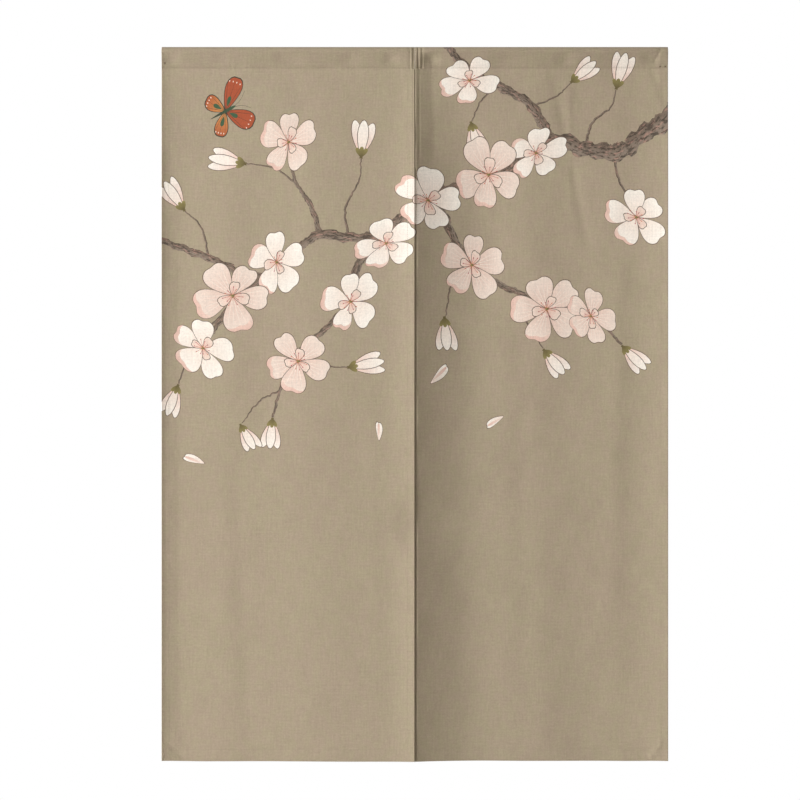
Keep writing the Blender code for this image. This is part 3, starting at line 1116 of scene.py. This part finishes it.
def makeSheet(name, panel, material):
    flat, triangles, shown = cutFlat(panel)
    u, v = flat[:, 0], flat[:, 1]
    facePoints, faceNormals, reversePoints, reverseNormals = clothFaces(panel, u, v)
    atEdge = edgeDistance(panel, u, v) < 1e-6
    count = len(flat)
    reverseIndex = np.where(atEdge, np.arange(count), count + np.cumsum(~atEdge) - 1)
    points = np.vstack((facePoints, reversePoints[~atEdge]))
    normals = np.vstack((faceNormals, reverseNormals[~atEdge]))
    flatAll = np.vstack((flat, flat[~atEdge]))
    reverseTriangles = reverseIndex[triangles][:, ::-1]
    mesh = bpy.data.meshes.new(name)
    mesh.from_pydata(points.tolist(), [], np.vstack((triangles, reverseTriangles)).tolist())
    mesh.materials.append(material)
    mesh.shade_smooth()

    ink, bark = cornerInks(flat, triangles, shown)
    reverseOrder = np.arange(len(ink)).reshape(-1, 3)[:, ::-1].ravel()
    thin = thicknessAt(panel, u, v)[triangles.ravel()] < cloth["thickness"] * sheetSettings["thinBelow"]
    reverseInk = ink[reverseOrder].copy()
    reverseInk[:, 3] *= sheetSettings["showThrough"] * thin[reverseOrder]
    addAttribute(mesh, "ink", "FLOAT_COLOR", "CORNER", np.vstack((ink, reverseInk)))
    addAttribute(mesh, "bark", "FLOAT_VECTOR", "CORNER", np.vstack((bark, bark[reverseOrder])))
    # Darker within a few millimetres of the cloth's edges and along the seam's stitches
    edgeAndSeamDarkening = np.exp(-edgeDistance(panel, flatAll[:, 0], flatAll[:, 1]) / sheetSettings["edgeDarkReach"])
    seamDarkening = np.exp(-((flatAll[:, 1] - stitchedV) / sheetSettings["seamDarkReach"]) ** 2)
    edgeAndSeamDarkening = np.maximum(edgeAndSeamDarkening, sheetSettings["seamDarkening"] * seamDarkening)
    addAttribute(mesh, "edgeAndSeamDarkening", "FLOAT", "POINT", edgeAndSeamDarkening)

    corners = np.concatenate((triangles.ravel(), reverseTriangles.ravel()))
    places = flatAll[corners]
    across = (places[:, 0] - panel["low"]) / (panel["high"] - panel["low"])
    up = places[:, 1] / endV
    margin = sheetSettings["bakeMargin"]
    faceShare = sheetSettings["faceShare"]
    onFace = np.arange(len(corners)) < len(corners) // 2
    start = np.where(onFace, margin, faceShare + margin)
    wide = np.where(onFace, faceShare, 1.0 - faceShare) - 2 * margin
    addUv(mesh, "OFBake", np.stack((start + across * wide, margin + up * (1 - 2 * margin)), axis=1))
    addUv(mesh, "flatCloth", places)
    mesh.normals_split_custom_set_from_vertices(normals.tolist())
    mesh.validate()
    sheet = addObject(name, mesh)
    print(name, "hung:", len(mesh.polygons), "triangles")
    return sheet


# Materials

linen = {
    "olive": (0.3935, 0.3350, 0.2295, 1.0),
    "pinkish": (0.4000, 0.3220, 0.2380, 1.0),
    "blotches": (                   # wide and small ones: scale, where they start and end, how pinkish
        ((7.0, 5.0, 1.0), 0.30, 0.70, 0.55),
        ((64.0, 52.0, 1.0), 0.36, 0.64, 0.75),
    ),
    "lessPinkish": 0.12,
    "paintedShadeOverPocket": 0.965,               # painted shade: the colour is a little darker where the cloth lies double over the pocket
    "yarn": 0.00078,                # from one yarn to the next
    "wanderScale": 90.0,
    "wander": (5.0, 7.0),           # how far the yarns of both directions wander, in radians
    "ridge": 0.6,
    "onTop": 0.6,                   # a yarn's height halfway, and how much it rises and sinks
    "crossing": 0.4,
    "weavePaintedLight": 0.10,             # painted light: how much brighter the tops of the yarns are made than the hollows between them
    "light": 0.895,
    "streaks": {                    # scale, detail, roughness, strength in the brightness
        "warp": ((390.0, 36.0, 1.0), 2.0, 0.5, 0.22),
        "weft": ((40.0, 370.0, 1.0), 2.0, 0.5, 0.17),
        "grain": ((300.0, 300.0, 1.0), 2.0, 0.6, 0.34),
        "mottle": ((17.0, 11.0, 1.0), 3.0, 0.55, 0.06),
    },
    "roughness": 0.81,
    "grainRoughness": 0.10,
    "inkRoughness": -0.05,
    "sheen": 0.10,
    "sheenRoughness": 0.45,
    "specular": 0.25,
    "inkCover": 0.88,               # between the yarns, and how much more on their tops
    "coverOnYarns": 0.10,
    "speckleScale": 900.0,
    "speckle": (0.35, 0.75, 1.02, 0.93),
    # How much darker the cloth gets near its edges and along the seam's stitches, and towards which colour
    "edgeAndSeamDarkening": 0.16,
    "darkeningColour": (0.20, 0.15, 0.10, 1.0),
    "streakHeight": 0.5,
    "bumpStrength": 0.55,
    "bumpDistance": 0.00022,
    "barkStroke": (0.020, 0.014, 0.012, 1.0),
    "barkDash": (0.470, 0.270, 0.215, 1.0),
    "barkLight": (0.270, 0.212, 0.168, 1.0),
    "barkMarks": {                  # scale, detail, roughness, where they start and end, strength
        "strokes": ((105.0, 3.4, 1.0), 4.0, 0.65, 0.50, 0.60, 0.80),
        "blots": ((44.0, 1.3, 1.0), 3.0, 0.60, 0.52, 0.64, 0.70),
        "dashes": ((72.0, 2.4, 3.0), 2.0, 0.50, 0.54, 0.63, 0.62),
    },
    "barkSide": (0.55, 1.0, 0.0, 0.75),
    "barkShade": (-0.6, 0.8),
}
thread = {
    "dark": (0.270, 0.215, 0.150, 1.0),
    "light": (0.420, 0.350, 0.255, 1.0),
    "toneScale": 260.0,
    "roughness": 0.58,
    "toneRoughness": 0.12,
    "sheen": 0.15,
    "plyScale": 2600.0,
    "bumpStrength": 0.4,
    "bumpDistance": 0.0001,
}


def feed(tree, node, inputs):
    for name, value in inputs.items():
        if isinstance(value, bpy.types.NodeSocket):
            tree.links.new(value, node.inputs[name])
        else:
            node.inputs[name].default_value = value


def addNode(tree, kind, inputs=None, **settings):
    node = tree.nodes.new(kind)
    for name, value in settings.items():
        setattr(node, name, value)
    feed(tree, node, inputs or {})
    return node


def mathNode(tree, operation, *values, clamp=False):
    inputs = dict(enumerate(values))
    return addNode(tree, "ShaderNodeMath", inputs, operation=operation, use_clamp=clamp).outputs[0]


def mixNode(tree, share, first, second, blend="MIX"):
    inputs = {0: share, 6: first, 7: second}
    return addNode(tree, "ShaderNodeMix", inputs, data_type="RGBA", blend_type=blend).outputs[2]


def stretched(tree, vector, scale):
    return addNode(tree, "ShaderNodeVectorMath", {0: vector, 1: scale}, operation="MULTIPLY").outputs[0]


def parts(tree, vector):
    return addNode(tree, "ShaderNodeSeparateXYZ", {0: vector}).outputs


def noiseNode(tree, vector, scale, detail=2.0, roughness=0.5):
    place = stretched(tree, vector, scale)
    inputs = {"Vector": place, "Scale": 1.0, "Detail": detail, "Roughness": roughness}
    return addNode(tree, "ShaderNodeTexNoise", inputs).outputs["Fac"]


def rampNode(tree, value, low, high, lowTo=0.0, highTo=1.0):
    inputs = {"Value": value, "From Min": low, "From Max": high, "To Min": lowTo, "To Max": highTo}
    return addNode(tree, "ShaderNodeMapRange", inputs, interpolation_type="SMOOTHSTEP").outputs["Result"]


def bumpNode(tree, height, settings):
    inputs = {"Strength": settings["bumpStrength"], "Distance": settings["bumpDistance"], "Height": height}
    return addNode(tree, "ShaderNodeBump", inputs).outputs[0]


def attributeNode(tree, name):
    return addNode(tree, "ShaderNodeAttribute", attribute_name=name).outputs


def newMaterial(name):
    material = bpy.data.materials.new(name)
    material.use_nodes = True
    return material, material.node_tree, material.node_tree.nodes["Principled BSDF"]


def weaveHeight(tree, flat):
    # Plain weave: yarns that wander a little and take turns on top
    wander = noiseNode(tree, flat, (linen["wanderScale"], linen["wanderScale"], 1.0))
    places = parts(tree, flat)
    ridges = []
    crossing = []
    for side in (0, 1):
        place = mathNode(tree, "MULTIPLY", places[side], math.pi / linen["yarn"])
        place = mathNode(tree, "MULTIPLY_ADD", wander, linen["wander"][side], place)
        ridge = mathNode(tree, "ABSOLUTE", mathNode(tree, "SINE", place))
        ridges.append(mathNode(tree, "POWER", ridge, linen["ridge"]))
        crossing.append(mathNode(tree, "COSINE", place))
    turn = mathNode(tree, "MULTIPLY", crossing[0], crossing[1])
    yarns = []
    for ridge, sign in zip(ridges, (1.0, -1.0)):
        rise = mathNode(tree, "MULTIPLY_ADD", turn, sign * linen["crossing"], linen["onTop"])
        yarns.append(mathNode(tree, "MULTIPLY", ridge, rise))
    return mathNode(tree, "MAXIMUM", *yarns)


def barkInk(tree, place, across, ink):
    # Brush strokes along a branch, black below and pinkish in dashes
    marks = {}
    shown = {}
    for name, (scale, detail, roughness, low, high, strength) in linen["barkMarks"].items():
        marks[name] = rampNode(tree, noiseNode(tree, place, scale, detail, roughness), low, high)
        shown[name] = mathNode(tree, "MULTIPLY", marks[name], strength)
    atSide = rampNode(tree, mathNode(tree, "ABSOLUTE", across), *linen["barkSide"])
    colour = mixNode(tree, rampNode(tree, across, *linen["barkShade"]), linen["barkLight"], ink)
    colour = mixNode(tree, shown["dashes"], colour, linen["barkDash"])
    dark = mathNode(tree, "MAXIMUM", shown["strokes"], shown["blots"])
    dark = mathNode(tree, "MAXIMUM", dark, mathNode(tree, "MULTIPLY", atSide, marks["strokes"]))
    return mixNode(tree, dark, colour, linen["barkStroke"])


def printedLinen():
    material, tree, shader = newMaterial("printedLinen")
    flat = addNode(tree, "ShaderNodeUVMap", uv_map="flatCloth").outputs[0]

    weave = weaveHeight(tree, flat)
    pinkish = 0.0
    for scale, low, high, share in linen["blotches"]:
        blotch = rampNode(tree, noiseNode(tree, flat, scale), low, high)
        pinkish = mathNode(tree, "MULTIPLY_ADD", blotch, share, pinkish)
    pinkish = mathNode(tree, "SUBTRACT", pinkish, linen["lessPinkish"], clamp=True)
    colour = mixNode(tree, pinkish, linen["olive"], linen["pinkish"])

    # Brightness: painted light on the yarns' tops and painted shade between them, from the weave's height,
    # then random streaks of tone
    light = mathNode(tree, "MULTIPLY_ADD", weave, linen["weavePaintedLight"], linen["light"])
    streaks = {}
    for name, (scale, detail, roughness, strength) in linen["streaks"].items():
        streaks[name] = noiseNode(tree, flat, scale, detail, roughness)
        change = mathNode(tree, "SUBTRACT", streaks[name], 0.5)
        light = mathNode(tree, "MULTIPLY_ADD", change, strength, light)
    # Painted shade: the colour over the pocket is made a little darker, from its seam upwards
    paintedShadeOverPocket = rampNode(tree, parts(tree, flat)[1], seamV, stitchedV, 1.0, linen["paintedShadeOverPocket"])
    light = mathNode(tree, "MULTIPLY", light, paintedShadeOverPocket)

    ink = attributeNode(tree, "ink")
    branchPlace = attributeNode(tree, "bark")["Vector"]
    _, acrossBranch, isBark = parts(tree, branchPlace)
    speckle = noiseNode(tree, flat, (linen["speckleScale"], linen["speckleScale"], 1.0))
    speckle = rampNode(tree, speckle, *linen["speckle"])
    inked = mixNode(tree, 1.0, ink["Color"], speckle, "MULTIPLY")
    inked = mixNode(tree, isBark, inked, barkInk(tree, branchPlace, acrossBranch, ink["Color"]))
    cover = mathNode(tree, "MULTIPLY_ADD", weave, linen["coverOnYarns"], linen["inkCover"], clamp=True)
    cover = mathNode(tree, "MULTIPLY", cover, ink["Alpha"])
    colour = mixNode(tree, cover, colour, inked)
    grey = addNode(tree, "ShaderNodeCombineColor", {0: light, 1: light, 2: light}).outputs[0]
    colour = mixNode(tree, 1.0, colour, grey, "MULTIPLY")
    # Darker near the edges and along the seam's stitches
    edgeAndSeamDarkening = mathNode(tree, "MULTIPLY", attributeNode(tree, "edgeAndSeamDarkening")["Fac"], linen["edgeAndSeamDarkening"])

    rough = mathNode(tree, "MULTIPLY_ADD", streaks["grain"], linen["grainRoughness"], linen["roughness"])
    height = mathNode(tree, "MULTIPLY_ADD", streaks["warp"], linen["streakHeight"], weave)
    height = mathNode(tree, "MULTIPLY_ADD", streaks["weft"], linen["streakHeight"], height)
    feed(tree, shader, {
        "Base Color": mixNode(tree, edgeAndSeamDarkening, colour, linen["darkeningColour"]),
        "Roughness": mathNode(tree, "MULTIPLY_ADD", ink["Alpha"], linen["inkRoughness"], rough),
        "Sheen Weight": linen["sheen"],
        "Sheen Roughness": linen["sheenRoughness"],
        "Specular IOR Level": linen["specular"],
        "Normal": bumpNode(tree, height, linen),
    })
    return material


def sewingThread():
    material, tree, shader = newMaterial("sewingThread")
    place = addNode(tree, "ShaderNodeTexCoord").outputs["Object"]
    tone = noiseNode(tree, place, (thread["toneScale"],) * 3)
    ply = noiseNode(tree, place, (thread["plyScale"],) * 3, 1.0)
    feed(tree, shader, {
        "Base Color": mixNode(tree, tone, thread["dark"], thread["light"]),
        "Roughness": mathNode(tree, "MULTIPLY_ADD", tone, thread["toneRoughness"], thread["roughness"]),
        "Sheen Weight": thread["sheen"],
        "Normal": bumpNode(tree, ply, thread),
    })
    return material


# Sewing: rows of stitches made by a Geometry Nodes tree along lines that lie on the cloth

sewing = {
    "pitch": 0.0032,
    "length": 0.0025,
    "radius": 0.00023,
    "seed": 5,
    "lean": 0.07,
    "proud": 0.00006,
    "routeStep": 0.004,
    "edgeGap": 0.002,               # how far from an edge a row stops, and at the pocket
    "pocketGap": 0.001,
    "belowSeam": 0.005,             # the side hems' stitches end here on the reverse
    "joinX": -0.0040,               # the row that sews the join, and two that go up the pocket beside it
    "leftOfJoin": -0.0097,
    "rightOfJoin": 0.0113,
    "besideDrop": 0.010,
    "joinEnd": (-0.0070, -0.0012),  # the short rows at the join's lower end, and their step
    "joinEndStep": 0.0012,
}


def stitchTree(material):
    tree = bpy.data.node_groups.new("stitchRows", "GeometryNodeTree")
    for label, kind in (("Geometry", "Geometry"), ("Pitch", "Float"), ("Length", "Float"),
                        ("Radius", "Float"), ("Seed", "Int")):
        tree.interface.new_socket(label, in_out="INPUT", socket_type="NodeSocket" + kind)
    tree.interface.new_socket("Geometry", in_out="OUTPUT", socket_type="NodeSocketGeometry")
    given = addNode(tree, "NodeGroupInput").outputs

    line = addNode(tree, "GeometryNodeMeshToCurve", {"Mesh": given["Geometry"]}).outputs["Curve"]
    inputs = {"Curve": line, "Length": given["Pitch"]}
    points = addNode(tree, "GeometryNodeCurveToPoints", inputs, mode="LENGTH").outputs
    inputs = {"Min": (-sewing["lean"],) * 3, "Max": (sewing["lean"],) * 3, "Seed": given["Seed"]}
    lean = addNode(tree, "FunctionNodeRandomValue", inputs, data_type="FLOAT_VECTOR").outputs["Value"]
    inputs = {0: points["Tangent"], 1: lean}
    leaning = addNode(tree, "ShaderNodeVectorMath", inputs, operation="ADD").outputs[0]
    align = addNode(tree, "FunctionNodeAlignRotationToVector", {"Vector": leaning}, axis="Z")
    halfLength = mathNode(tree, "MULTIPLY", given["Length"], 0.5)
    size = addNode(tree, "ShaderNodeCombineXYZ", {0: given["Radius"], 1: given["Radius"], 2: halfLength})
    bead = addNode(tree, "GeometryNodeMeshUVSphere", {"Segments": 6, "Rings": 4, "Radius": 1.0})
    placed = addNode(tree, "GeometryNodeInstanceOnPoints", {
        "Points": points["Points"],
        "Instance": bead.outputs["Mesh"],
        "Rotation": align.outputs["Rotation"],
        "Scale": size.outputs[0],
    })
    real = addNode(tree, "GeometryNodeRealizeInstances", {"Geometry": placed.outputs["Instances"]})
    inputs = {"Geometry": real.outputs["Geometry"], "Material": material}
    painted = addNode(tree, "GeometryNodeSetMaterial", inputs)
    addNode(tree, "NodeGroupOutput", {0: painted.outputs["Geometry"]})
    return tree


def routeOnCloth(panel, ends, onReverse):
    # Points along a straight line on the flat cloth, on the face or the reverse of the hanging cloth
    (u1, v1), (u2, v2) = ends
    count = max(2, round(math.hypot(u2 - u1, v2 - v1) / sewing["routeStep"]))
    share = np.linspace(0.0, 1.0, count + 1)
    u = u1 + (u2 - u1) * share
    v = v1 + (v2 - v1) * share
    face, faceNormal, reverse, reverseNormal = clothFaces(panel, u, v)
    if onReverse:
        return reverse + reverseNormal * sewing["proud"]
    return face + faceNormal * sewing["proud"]


def seamRoutes(name, panel):
    low, high = panel["low"], panel["high"]
    side = cloth["sideHem"] - cloth["stitchInset"]
    bottom = cloth["bottomHem"] - cloth["stitchInset"]
    gap = sewing["edgeGap"]
    innerLow = (panel["notch"][0] if panel["notch"] else low) + sewing["pocketGap"]
    innerHigh = high - sewing["pocketGap"]
    top = endV - sewing["pocketGap"]
    topAtLow = notchV - gap if panel["notch"] else top
    joinV = frontV(curtain["joinDrop"])
    besideV = frontV(sewing["besideDrop"])
    routes = []

    def sew(start, end, onReverse=False):
        routes.append(((start, end), onReverse))

    for u, upTo in ((low + side, topAtLow), (high - side, top)):
        sew((u, gap), (u, upTo))
        sew((u, gap), (u, seamV - sewing["belowSeam"]), True)
    for onReverse in (False, True):
        sew((low + gap, bottom), (high - gap, bottom), onReverse)
    for v in (stitchedV, backStitchedV):
        sew((innerLow, v), (innerHigh, v))
    if name == "left":
        sew((sewing["joinX"], joinV), (sewing["joinX"], seamV - sewing["pocketGap"]))
        sew((sewing["leftOfJoin"], stitchedV), (sewing["leftOfJoin"], besideV))
        for row in range(3):
            v = joinV + sewing["joinEndStep"] * row
            sew((sewing["joinEnd"][0], v), (sewing["joinEnd"][1], v))
    else:
        sew((sewing["rightOfJoin"], stitchedV), (sewing["rightOfJoin"], besideV))
    for x, drop, halfWidth, halfHeight in tacks:
        if low < x < high:
            v = curtain["height"] - drop
            for u in np.linspace(x - halfWidth, x + halfWidth, 4):
                sew((u, v - halfHeight), (u, v + halfHeight))
    return routes


def makeStitches(name, panel, tree):
    points = []
    edges = []
    for ends, onReverse in seamRoutes(name, panel):
        route = routeOnCloth(panel, ends, onReverse)
        start = len(points)
        points.extend(route.tolist())
        edges.extend((index, index + 1) for index in range(start, len(points) - 1))
    lines = bpy.data.meshes.new("seamLines")
    lines.from_pydata(points, edges, [])
    guide = addObject("seamLines", lines)
    rows = guide.modifiers.new("stitchRows", "NODES")
    rows.node_group = tree
    values = {key.capitalize(): sewing[key] for key in ("pitch", "length", "radius", "seed")}
    for socket in tree.interface.items_tree:
        if socket.in_out == "INPUT" and socket.name in values:
            rows[socket.identifier] = values[socket.name]
    evaluated = guide.evaluated_get(bpy.context.evaluated_depsgraph_get())
    mesh = bpy.data.meshes.new_from_object(evaluated)
    mesh.name = "stitches_" + name
    mesh.shade_smooth()
    bpy.data.objects.remove(guide)
    places = np.zeros(len(mesh.vertices) * 3)
    mesh.vertices.foreach_get("co", places)
    places = places.reshape(-1, 3)[:, (0, 2)]
    low, high = places.min(0), places.max(0)
    corners = np.zeros(len(mesh.loops), int)
    mesh.loops.foreach_get("vertex_index", corners)
    while mesh.uv_layers:
        mesh.uv_layers.remove(mesh.uv_layers[0])
    addUv(mesh, "OFBake", ((places - low) / (high - low))[corners])
    stitches = addObject("stitches_" + name, mesh)
    print(stitches.name, "sewn:", len(mesh.polygons), "faces")
    return stitches


# Studio: a pale floor far below, soft light from the upper left, and a white surround

studio = {
    "floorDrop": 2.0,
    "floorFront": 4.0,
    "floorBehind": 3.5,
    "floorHalfWidth": 4.0,
    "floorColour": (0.80, 0.79, 0.77, 1.0),
    "floorRoughness": 0.7,
    "lights": [                     # name, place, size, power
        ("keyLight", (-5.6, -2.68, 0.80), 1.4, 575.0),
        ("topLight", (-0.8, -2.8, 5.6), 1.6, 70.0),
        ("backLight", (-2.5, 3.5, 0.6), 2.0, 170.0),
    ],
    "ambient": 0.135,
    "ambientTint": (1.0, 0.86, 0.66, 1.0),
    "aim": (-0.0248, 0.0, -0.593),
    "distance": 5.04,
    "lens": 135.0,
}


def makeFloor():
    half = studio["floorHalfWidth"]
    z = -studio["floorDrop"]
    mesh = bpy.data.meshes.new("floor")
    places = ((-half, -studio["floorFront"]), (half, -studio["floorFront"]),
              (half, studio["floorBehind"]), (-half, studio["floorBehind"]))
    mesh.from_pydata([(x, y, z) for x, y in places], [], [(0, 1, 2, 3)])
    material, tree, shader = newMaterial("paleFloor")
    feed(tree, shader, {"Base Color": studio["floorColour"], "Roughness": studio["floorRoughness"]})
    mesh.materials.append(material)
    addObject("floor", mesh)


def addAreaLight(name, place, size, power):
    data = bpy.data.lights.new(name, "AREA")
    data.shape = "DISK"
    data.size = size
    data.energy = power
    light = addObject(name, data)
    light.location = place
    toAim = Vector(studio["aim"]) - Vector(place)
    light.rotation_euler = toAim.to_track_quat("-Z", "Y").to_euler()


def makeSurround():
    world = bpy.data.worlds.new("whiteSurround")
    bpy.context.scene.world = world
    world.use_nodes = True
    tree = world.node_tree
    background = tree.nodes["Background"]
    seen = addNode(tree, "ShaderNodeLightPath").outputs["Is Camera Ray"]
    strength = mathNode(tree, "MULTIPLY_ADD", seen, 1.0 - studio["ambient"], studio["ambient"])
    tint = mixNode(tree, seen, studio["ambientTint"], (1.0, 1.0, 1.0, 1.0))
    feed(tree, background, {"Color": tint, "Strength": strength})


def makeCamera():
    data = bpy.data.cameras.new("camera")
    data.lens = studio["lens"]
    data.clip_end = 50.0
    camera = addObject("camera", data)
    camera.location = Vector(studio["aim"]) - Vector((0.0, studio["distance"], 0.0))
    camera.rotation_euler = (math.pi / 2, 0.0, 0.0)
    bpy.context.scene.camera = camera


makeCamera()
makeSurround()
makeFloor()
for light in studio["lights"]:
    addAreaLight(*light)
bpy.context.scene.view_settings.view_transform = "Standard"
print("studio set")

drawPrint()
linenMaterial = printedLinen()
rowsOfStitches = stitchTree(sewingThread())
for side in ("left", "right"):
    panel = panels[side]
    sheet = makeSheet("cloth_" + side, panel, linenMaterial)
    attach(sheet, "root")
    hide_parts("panel_" + side, "pocket_" + side)
    stitches = makeStitches(side, panel, rowsOfStitches)
    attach(stitches, "root")
